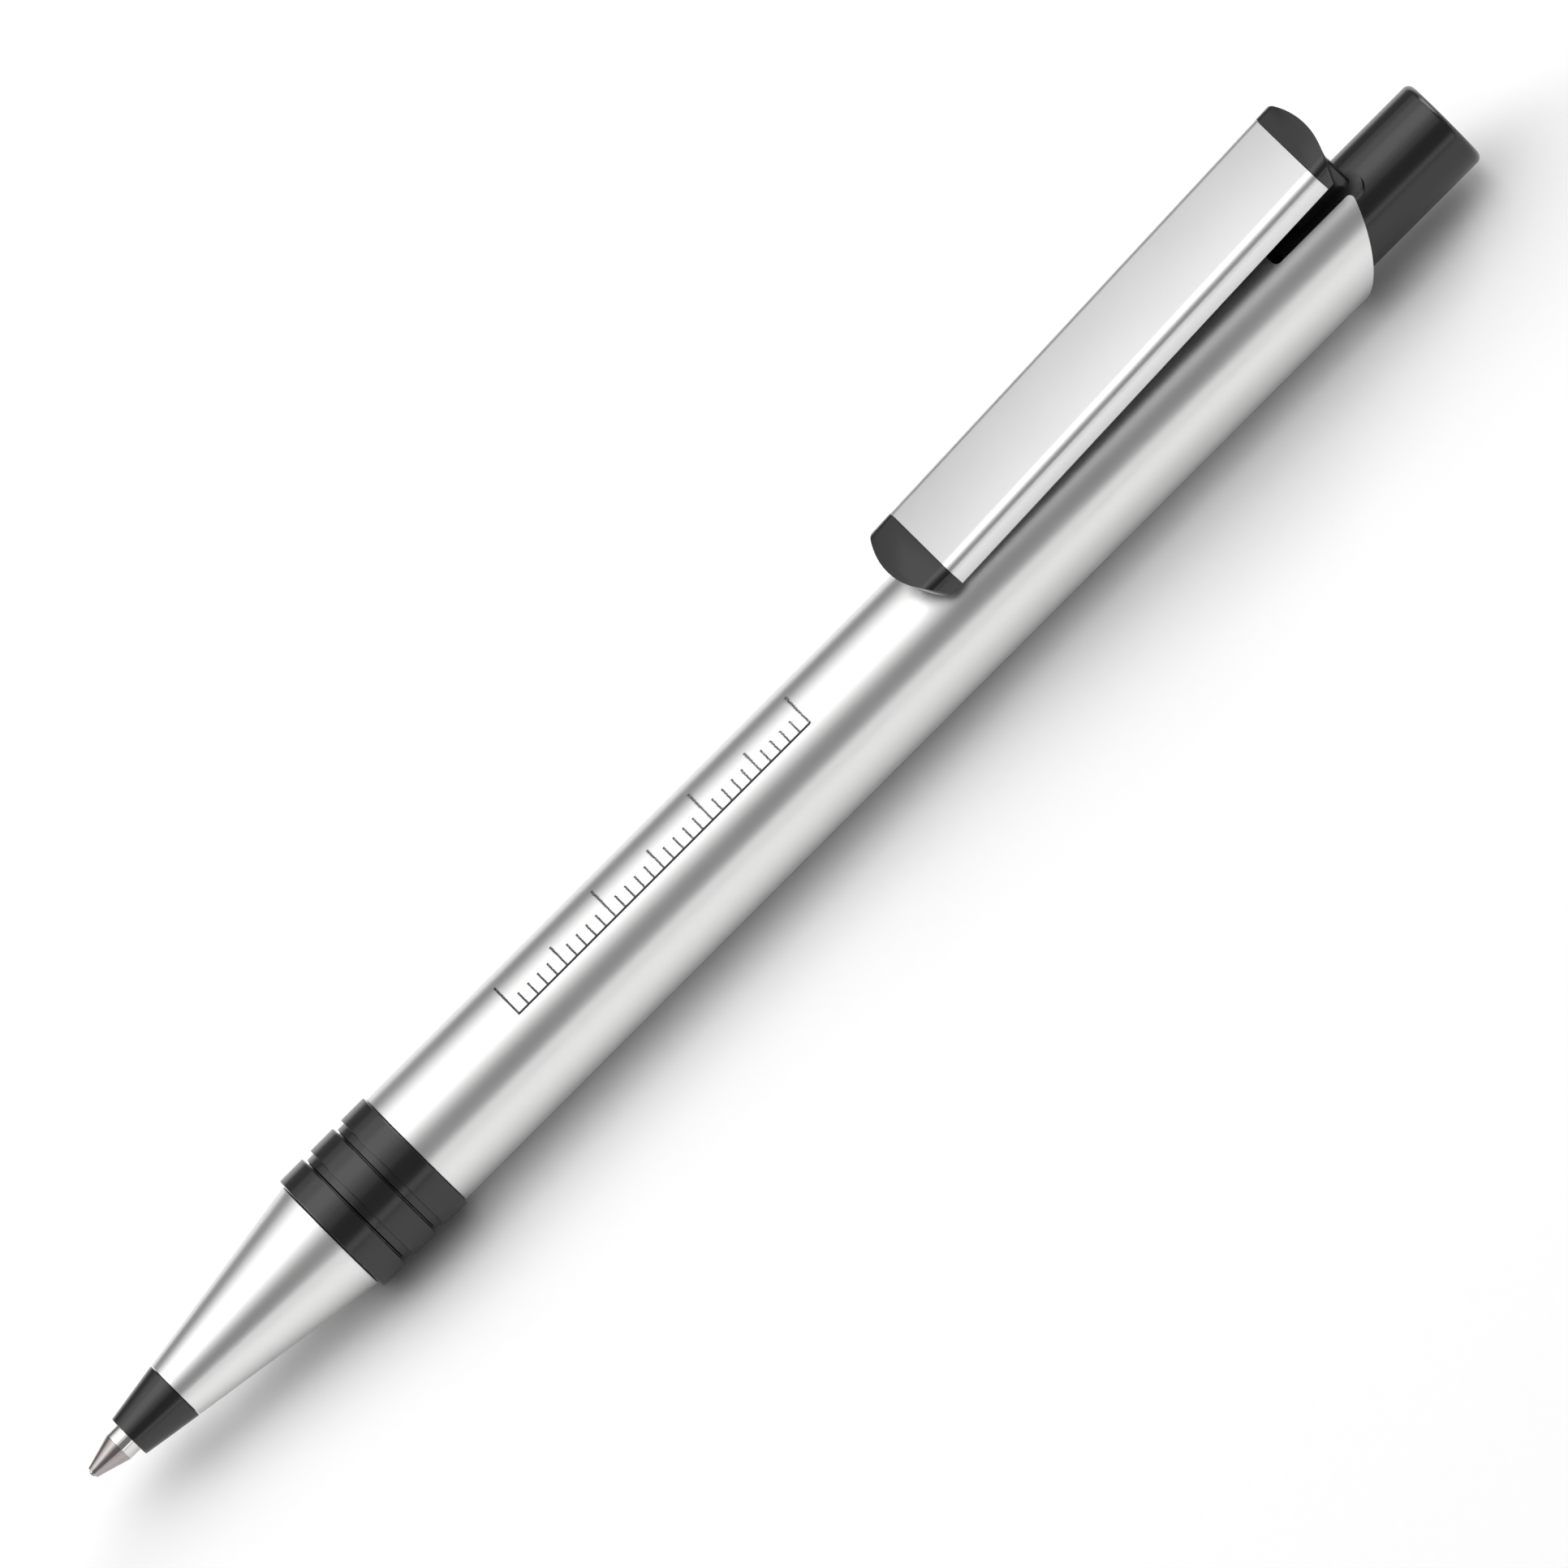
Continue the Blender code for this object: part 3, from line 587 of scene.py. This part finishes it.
def tree_with(name, inputs):
    """A geometry tree with named number inputs. It gives back the tree, its inputs and its output node."""
    tree = bpy.data.node_groups.new(name, "GeometryNodeTree")
    tree.interface.new_socket(name="Geometry", in_out="OUTPUT", socket_type="NodeSocketGeometry")
    for label, kind in inputs:
        tree.interface.new_socket(name=label, in_out="INPUT", socket_type=kind)
    tree.interface.new_socket(name="Finish", in_out="INPUT", socket_type="NodeSocketMaterial")
    entry = tree.nodes.new("NodeGroupInput")
    leave = tree.nodes.new("NodeGroupOutput")
    values = {socket.name: Wire(tree, socket) for socket in entry.outputs if socket.name}
    return tree, values, leave


def finished_tree(shape, values, leave):
    """Ends a tree: smooth faces, real geometry and the finish."""
    smooth = shape.node("GeometryNodeSetShadeSmooth", None, {"Geometry": shape})
    real = smooth.node("GeometryNodeRealizeInstances", None, {"Geometry": smooth})
    coated = real.node("GeometryNodeSetMaterial", None, {"Geometry": real, "Material": values["Finish"]})
    coated.feed(leave.inputs["Geometry"], coated)


def grown(name, tree, numbers, node):
    """Runs a geometry tree with these inputs and keeps the result as a plain mesh."""
    made = bpy.data.objects.new(name, bpy.data.meshes.new(name))
    bpy.context.scene.collection.objects.link(made)
    step = made.modifiers.new(name, "NODES")
    step.node_group = tree
    given = dict(numbers, Finish=FINISHES[SLOT_OF[node]])
    for item in tree.interface.items_tree:
        if item.in_out == "INPUT":
            step[item.identifier] = given[item.name]
    settle(made)
    return made


def ribbed_ring_tree():
    """A ring whose outside repeats flange and groove. Rows run along it, and columns run round it."""
    number = "NodeSocketFloat"
    labels = ["Front", "Rear", "Radius", "Bore", "Flange", "Groove", "Depth", "Relief", "Edge", "Height"]
    inputs = [(label, number) for label in labels] + [("Rows", "NodeSocketInt"), ("Columns", "NodeSocketInt")]
    tree, given, leave = tree_with("ribbed_ring", inputs)
    rows, columns = given["Rows"], given["Columns"]
    grid_sizes = {"Size X": rows + 2, "Size Y": columns, "Vertices X": rows + 3, "Vertices Y": columns + 1}
    grid = rows.node("GeometryNodeMeshGrid", None, grid_sizes)
    spot = grid.node("GeometryNodeInputPosition")
    row = spot.part("X") + (rows + 2) / 2
    turn = spot.part("Y") / columns * (2 * math.pi)
    along = ((row - 1) / (rows - 1)).most(0).least(1) * (row < rows + 1.5)
    length = given["Rear"] - given["Front"]
    x = given["Front"] + along * length
    # How far a place is inside its flange, negative in a groove
    repeat = (along * length) % (given["Flange"] + given["Groove"])
    inside = repeat.least(given["Flange"] - repeat)
    edge = given["Edge"]
    short = edge - inside.most(0).least(edge)
    on_flange = given["Radius"] - edge + (edge * edge - short * short).most(0).sqrt()
    wall = (inside * 30000 + 1).most(0).least(1)
    # The groove is cut deeper along its two walls, which leaves a low bead between them
    relief = 1 - (0 - inside).between(given["Relief"] * 0.7, given["Relief"] * 1.3)
    floor = given["Radius"] - given["Depth"] * (relief + 1)
    outside = floor + (on_flange - floor) * wall
    on_bore = (row < 0.5).most(row > rows + 0.5)
    radius = outside + (given["Bore"] - outside) * on_bore
    y = radius * turn.cos()
    z = given["Height"] + radius * turn.sin()
    place = x.node("ShaderNodeCombineXYZ", None, {"X": x, "Y": y, "Z": z})
    bent = grid.node("GeometryNodeSetPosition", None, {"Geometry": grid, "Position": place})
    closed = bent.node("GeometryNodeMergeByDistance", None, {"Geometry": bent, "Distance": 3e-7})
    finished_tree(closed, given, leave)
    return tree


def make_grip_ring():
    """The black ring: three flanges with two grooves between them."""
    front, rear = ends("grip_ring")
    groove = 0.83 * MM
    flange = (rear - front - 2 * groove) / 3
    numbers = {
        "Front": front,
        "Rear": rear,
        "Radius": radius_of("grip_ring"),
        "Bore": 4.20 * MM,
        "Flange": flange,
        "Groove": groove,
        "Depth": 0.31 * MM,
        "Relief": 0.17 * MM,
        "Edge": 0.09 * MM,
        "Height": AXIS,
        "Rows": 360,
        "Columns": 160,
    }
    ring = grown("ring", ribbed_ring_tree(), numbers, "grip_ring")
    face_outwards(ring)
    dress(ring, "grip_ring", sharp=60)


# ----------------------------------------------------------------- return spring


def spring_tree():
    """A coil along X whose end turns lie close, as on a real compression spring."""
    number = "NodeSocketFloat"
    labels = ["Start", "Stop", "Radius", "Wire", "Turns", "Height"]
    inputs = [(label, number) for label in labels] + [("Points", "NodeSocketInt")]
    tree, given, leave = tree_with("coil_spring", inputs)
    points = given["Points"]
    line = points.node("GeometryNodeMeshLine", None, {"Count": points})
    share = line.node("GeometryNodeInputIndex") / (points - 1)
    turn = share * given["Turns"] * (2 * math.pi)
    # The pitch grows from the first turn and shrinks into the last one
    closed_end = 1 / given["Turns"]
    along = share.between(closed_end * 0.4, 1 - closed_end * 0.4) * 0.55 + share * 0.45
    x = given["Start"] + (given["Stop"] - given["Start"]) * along
    y = given["Radius"] * turn.cos()
    z = given["Height"] + given["Radius"] * turn.sin()
    place = x.node("ShaderNodeCombineXYZ", None, {"X": x, "Y": y, "Z": z})
    bent = line.node("GeometryNodeSetPosition", None, {"Geometry": line, "Position": place})
    path = bent.node("GeometryNodeMeshToCurve", None, {"Mesh": bent})
    across = {"Resolution": 14, "Radius": given["Wire"]}
    round_wire = path.node("GeometryNodeCurvePrimitiveCircle", None, across)
    inputs = {"Curve": path, "Profile Curve": round_wire, "Fill Caps": True}
    coil = path.node("GeometryNodeCurveToMesh", None, inputs)
    finished_tree(coil, given, leave)
    return tree


def make_spring():
    """The spring round the refill's neck."""
    front, rear = ends("return_spring")
    wire = 0.225 * MM
    numbers = {
        "Start": front + wire,
        "Stop": rear - wire,
        "Radius": 2.10 * MM,
        "Wire": wire,
        "Turns": 9.0,
        "Height": AXIS,
        "Points": 433,
    }
    spring = grown("spring", spring_tree(), numbers, "return_spring")
    face_outwards(spring)
    # The front end rests in the cone and the rear end on the refill's shoulder
    reach = ((front, 0, AXIS), (rear, 0, AXIS))
    dress(spring, "return_spring", sharp=60, spans=("barrel", "refill", *reach))


# ------------------------------------------------------------------------ barrel

RIM_TILT = math.radians(30)
SLOT_HALF = 2.70 * MM
SLEEVE_DEPTH = 4.40 * MM
RIM = ends("rear_sleeve")[0] + SLEEVE_DEPTH
SLOT_FRONT = RIM - 5.25 * MM


def behind_rim(inset):
    """Everything behind the sloping rear rim, as a cutter."""
    reach = 20 * MM
    shape = bmesh.new()
    bmesh.ops.create_cube(shape, size=2 * reach)
    bmesh.ops.translate(shape, verts=shape.verts, vec=(reach, 0, 0))
    place = Matrix.Translation((RIM - inset, 0, AXIS)) @ Matrix.Rotation(RIM_TILT, 4, "Y")
    return as_object("behind_rim", shape, place)


def slot_cutter(radius):
    """The slot in plan: round corners in front, and rounded corners where it opens through the rim."""
    z = math.sqrt(radius * radius - SLOT_HALF * SLOT_HALF)
    mouth = RIM + z * math.tan(RIM_TILT)
    # The rim's own direction in plan at the corner
    slope = -math.tan(RIM_TILT) * SLOT_HALF / z
    flare = 1.2 * MM
    inner = 0.47 * MM
    outer = 0.35 * MM
    far = RIM + 12 * MM
    corners = [
        (SLOT_FRONT, SLOT_HALF, inner),
        (SLOT_FRONT, -SLOT_HALF, inner),
        (mouth, -SLOT_HALF, outer),
        (mouth + slope * flare, -SLOT_HALF - flare, 0),
        (far, -SLOT_HALF - flare, 0),
        (far, SLOT_HALF + flare, 0),
        (mouth + slope * flare, SLOT_HALF + flare, 0),
        (mouth, SLOT_HALF, outer),
    ]
    return as_object("slot", prism(soften(corners, steps=8), AXIS + radius / 2, AXIS + 3 * radius))


def make_barrel():
    """The tube, cut at its sloping rim and slotted under the clip."""
    front = ends("barrel_tube")[0]
    radius = radius_of("barrel_tube")
    bore = radius - 0.50 * MM
    rear = RIM + 9 * MM  # past the rim, which cuts it back
    corners = [
        (front, bore, 0.05 * MM),
        (front, radius, 0.12 * MM),
        (rear, radius, 0),
        (rear, bore, 0),
    ]
    barrel = as_object("barrel", turned(corners, FINE_ROUND))
    carved(barrel, ("DIFFERENCE", behind_rim(0)), ("DIFFERENCE", slot_cutter(radius)))
    dress(barrel, "barrel_tube", finish=satin_silver("printed_silver", printed=True))


def make_button():
    """The button: a cup with a round edge, and a flange that the sleeve holds back."""
    front, rear = ends("push_button")
    flange = radius_of("push_button")
    radius = 3.85 * MM
    wall = 0.60 * MM
    flange_rear = front + 1.0 * MM
    deep = rear - 2 * wall
    corners = [
        (rear, 0, 0),
        (rear, radius, 0.58 * MM),
        (flange_rear, radius, 0.1 * MM),
        (flange_rear, flange, 0.1 * MM),
        (front, flange, 0.1 * MM),
        (front, radius - wall, 0),
        (deep, radius - wall, 0),
        (deep, 0, 0),
    ]
    dress(as_object("button", turned(corners, fillet_steps=10)), "push_button")


# -------------------------------------------------------------------------- clip

CLIP_FACE = next(mount for mount in frame["record"]["mounts"] if mount["name"] == "clip_face")
CLIP_TILT = math.asin(-CLIP_FACE["axis"][0])
CLIP_DEPTH = 2.0 * MM
CLIP_LENGTH = 44.7 * MM
CLIP_HALF = (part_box("clip_plate")[1].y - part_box("clip_plate")[0].y) / 2
CLIP_EDGE = 1.0 * MM
END_LEAN = math.radians(16)
PLATE = 0.35 * MM
PLATE_FRONT = -CLIP_LENGTH + 3.2 * MM
PLATE_REAR = -2.3 * MM
FLEX_GAP = 0.12 * MM  # between the clip and the post that carries it
PAST = 1 * MM  # how far a cut runs past the piece
FRONT_ARC = 8.2 * MM
REAR_ARC = 9.5 * MM


def clip_place():
    """From the clip's own frame, with X = 0 at its rear end and Z = 0 on its top, to the pen."""
    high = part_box("clip_core")[1]
    rear = high.x - CLIP_DEPTH * math.sin(CLIP_TILT)
    return Matrix.Translation((rear, 0, high.z)) @ Matrix.Rotation(-CLIP_TILT, 4, "Y")


def bar(front, rear, half, bottom, top, edge):
    """A bar along the clip with its two upper edges rounded."""
    corners = [(-half, bottom, 0), (half, bottom, 0), (half, top, edge), (-half, top, edge)]
    section = soften(corners, steps=10)
    shape = bmesh.new()
    face = shape.faces.new([shape.verts.new((front, p.x, p.y)) for p in section])
    pushed = bmesh.ops.extrude_face_region(shape, geom=[face])["geom"]
    lifted = [part for part in pushed if isinstance(part, bmesh.types.BMVert)]
    bmesh.ops.translate(shape, verts=lifted, vec=(rear - front, 0, 0))
    bmesh.ops.recalc_face_normals(shape, faces=shape.faces)
    return shape


def end_arc(radius):
    """An arc across the clip with its crown at X = 0, and a small round where it meets each side."""
    corner = 0.5 * MM
    reach = math.asin(CLIP_HALF / radius)
    steps = 24
    turns = [reach * (2 * i / steps - 1) for i in range(steps + 1)]
    arc = [(-radius * (1 - math.cos(turn)), radius * math.sin(turn), 0) for turn in turns]
    first, last = (*arc[0][:2], corner), (*arc[-1][:2], corner)
    return [first] + arc[3:-3] + [last]


def clip_plan():
    """The clip in plan, as a solid. Its ends lean in towards the barrel as they go down."""
    front = [(-CLIP_LENGTH - x, -y, fillet) for x, y, fillet in end_arc(FRONT_ARC)]
    shape = prism(soften(end_arc(REAR_ARC) + front, steps=6), -2 * CLIP_DEPTH, CLIP_DEPTH)
    middle = -CLIP_LENGTH / 2
    for vertex in shape.verts:
        lean = vertex.co.z * math.tan(END_LEAN)
        vertex.co.x += (vertex.co.x - middle) / abs(middle) * lean
    return shape


def make_clip_plate():
    """The metal plate, folded down over both sides of the clip."""
    plate = as_object("plate", bar(PLATE_FRONT, PLATE_REAR, CLIP_HALF, -CLIP_DEPTH, 0, CLIP_EDGE))
    front, rear = PLATE_FRONT - PAST, PLATE_REAR + PAST
    hollow = bar(front, rear, CLIP_HALF - PLATE, -2 * CLIP_DEPTH, -PLATE, CLIP_EDGE - PLATE)
    carved(plate, ("DIFFERENCE", as_object("hollow", hollow)))
    ease_edges(plate, 0.05 * MM)
    plate.data.transform(clip_place())
    dress(plate, "clip_plate")


def make_clip_core():
    """The black clip, full width at its two ends and set back under the plate between them."""
    core = as_object("core", bar(-CLIP_LENGTH - PAST, PAST, CLIP_HALF, -CLIP_DEPTH, 0, CLIP_EDGE))
    plan = as_object("plan", clip_plan())
    gap = 0.03 * MM
    front, rear = PLATE_FRONT - gap, PLATE_REAR + gap
    seat = as_object("seat", bar(front, rear, 2 * CLIP_HALF, -2 * CLIP_DEPTH, CLIP_DEPTH, 0))
    half, top = CLIP_HALF - PLATE - gap, -PLATE - gap
    kept = bar(-2 * CLIP_LENGTH, CLIP_LENGTH, half, -3 * CLIP_DEPTH, top, CLIP_EDGE - PLATE)
    carved(seat, ("DIFFERENCE", as_object("kept", kept)))
    carved(core, ("INTERSECT", plan), ("DIFFERENCE", seat), ("UNION", clip_nib()))
    face_outwards(core, merge=SLIVER)
    ease_edges(core, 0.06 * MM)
    core.data.transform(clip_place())
    dress(core, "clip_core")


def clip_nib():
    """The rounded rib under the free end."""
    radius = 1.5 * MM
    gap = 0.3 * MM
    back = PLATE_FRONT + radius
    clip_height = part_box("clip_core")[1].z - AXIS
    low = clip_height + back * math.sin(CLIP_TILT) - radius_of("barrel_tube") - gap
    shape = bmesh.new()
    bmesh.ops.create_cone(
        shape, cap_ends=True, segments=64, radius1=radius, radius2=radius, depth=4 * MM
    )
    turn = Matrix.Translation((back, 0, radius - low)) @ Matrix.Rotation(math.pi / 2, 4, "X")
    bmesh.ops.transform(shape, matrix=turn, verts=shape.verts)
    for vertex in shape.verts:
        vertex.co.z = min(vertex.co.z, -CLIP_DEPTH / 2)
    return as_object("nib", shape)


# ------------------------------------------------------------------------ sleeve

SLEEVE_BORE = 3.95 * MM


def make_sleeve():
    """The button's sleeve, cut off inside the rim, and the post on it that carries the clip."""
    front = ends("rear_sleeve")[0]
    rear = RIM + 12 * MM
    sleeve = as_object("sleeve", cylinder(front, rear, radius_of("rear_sleeve")))
    off = behind_rim(0.1 * MM)
    carved(off, ("DIFFERENCE", sleeve_tongue(front, rear)))
    hole = as_object("hole", cylinder(front - MM, rear + MM, SLEEVE_BORE))
    carved(sleeve, ("DIFFERENCE", off), ("UNION", clip_post()), ("DIFFERENCE", hole))
    face_outwards(sleeve, merge=SLIVER)
    dress(sleeve, "rear_sleeve")


def cylinder(front, rear, radius):
    """A plain solid cylinder on the pen's axis."""
    return turned([(rear, 0, 0), (rear, radius, 0), (front, radius, 0), (front, 0, 0)])


def sleeve_tongue(front, rear):
    """The low tongue with a round end that runs on over the button, on the side towards -Y."""
    near, far = -2.5 * MM, -0.4 * MM
    corner = 1.03 * MM
    end = RIM + 3.8 * MM
    outline = [(front, near, 0), (end, near, corner), (end, far, corner), (front, far, 0)]
    plan = prism(soften(outline, steps=10), AXIS + SLEEVE_BORE / 2, AXIS + 3 * SLEEVE_BORE)
    tongue = as_object("tongue", plan)
    thin = cylinder(front, rear + MM, SLEEVE_BORE + 0.30 * MM)
    carved(tongue, ("INTERSECT", as_object("tongue_core", thin)))
    return tongue


def clip_post():
    """The post under the clip, made in the clip's own frame."""
    half = 1.6 * MM
    corner = 0.5 * MM
    front, rear = -6 * MM, -0.8 * MM
    outline = [(front, -half, 0), (rear, -half, corner), (rear, half, corner), (front, half, 0)]
    post = prism(soften(outline, steps=8), -8 * MM, -CLIP_DEPTH - FLEX_GAP)
    return as_object("post", post, clip_place())


# ------------------------------------------------------------------ kept CAD nodes


def finish_kept_nodes():
    """The hidden pieces keep their CAD shape and get their finish."""
    for node in (
        "cone_thread_bush",
        "thread_coupling",
        "cam_guide",
        "thrust_cam",
        "rotor_cam",
        "refill_tube",
        "ink_column",
        "refill_plug",
    ):
        mesh = frame["nodes"][node].data
        mesh.materials.clear()
        mesh.materials.append(FINISHES[SLOT_OF[node]])


# ------------------------------------------------------------ floor, light, camera


def make_floor():
    """A plain sheet of pale paper."""
    shape = bmesh.new()
    bmesh.ops.create_grid(shape, x_segments=1, y_segments=1, size=3)
    floor = as_object("floor", shape)
    paper = Finish("paper", (0.93, 0.93, 0.93), 0.9)
    fibres = paper.place.noise(900, 3)
    paper.set("Base Color", fibres.blend((0.925, 0.925, 0.925, 1), (0.94, 0.94, 0.94, 1)))
    floor.data.materials.append(paper.material)


def softbox(name, centre, width, depth, radiance, target=None):
    """A panel of light with its own brightness. It faces straight down unless it has a target."""
    light = bpy.data.lights.new(name, "AREA")
    light.shape = "RECTANGLE"
    light.size = width
    light.size_y = depth
    light.energy = radiance * math.pi * width * depth
    made = bpy.data.objects.new(name, light)
    made.location = centre
    if target is not None:
        made.rotation_euler = (Vector(target) - Vector(centre)).to_track_quat("-Z", "Y").to_euler()
    bpy.context.scene.collection.objects.link(made)


def overhead(name, height, lean_front, lean_back, radiance):
    """A long panel above the pen. Its leans are degrees off straight up, with the camera's side below 0."""
    length = 1.1
    near = height * math.tan(math.radians(lean_front))
    far = height * math.tan(math.radians(lean_back))
    softbox(name, (0, (near + far) / 2, height), length, far - near, radiance)


def make_lights():
    """Three panels overhead that brighten towards the middle, one at each end of the pen and a low strip."""
    world = bpy.data.worlds.new("studio")
    bpy.context.scene.world = world
    world.use_nodes = True
    background = world.node_tree.nodes["Background"]
    background.inputs["Color"].default_value = (0.22, 0.22, 0.22, 1)
    background.inputs["Strength"].default_value = 1.0
    overhead("wide_panel", 0.70, -36, 58, 0.50)
    overhead("middle_panel", 0.65, -22, 42, 0.55)
    overhead("key_strip", 0.60, -10, 20, 0.60)
    for side in (-1, 1):
        softbox("end_panel", (1.1 * side, 0.45, 0.55), 0.8, 0.8, 3.4, target=(0, 0, 0))
    softbox("front_strip", (0, -1.2, 0.19), 1.8, 0.26, 1.0, target=(0, 0, 0.02))


FRAME_WIDTH = 114.56 * MM  # what the camera sees from side to side, at the pen


def make_camera():
    """Square on to the pen from above its side, rolled so that the pen runs up to the right."""
    back = Vector((0, -1, 1)).normalized()
    along = Vector((1, 0, 0))
    across = Vector((0, 1, 1)).normalized()
    right = (along - across).normalized()
    up = (along + across).normalized()
    lens = bpy.data.cameras.new("camera")
    lens.lens = 1000
    lens.sensor_width = 36
    distance = FRAME_WIDTH * lens.lens / lens.sensor_width
    aim = Vector((1.5 * MM, 0, AXIS)) - across * 0.12 * MM
    camera = bpy.data.objects.new("camera", lens)
    turn = Matrix((right, up, back)).transposed()
    camera.matrix_world = Matrix.Translation(aim + back * distance) @ turn.to_4x4()
    lens.clip_end = 20
    bpy.context.scene.collection.objects.link(camera)
    bpy.context.scene.camera = camera


make_refill_tip()
make_ball()
make_nose()
make_cone()
make_grip_ring()
make_spring()
make_barrel()
make_button()
make_clip_plate()
make_clip_core()
make_sleeve()
finish_kept_nodes()
make_floor()
make_lights()
make_camera()
bpy.context.scene.view_settings.view_transform = "Standard"
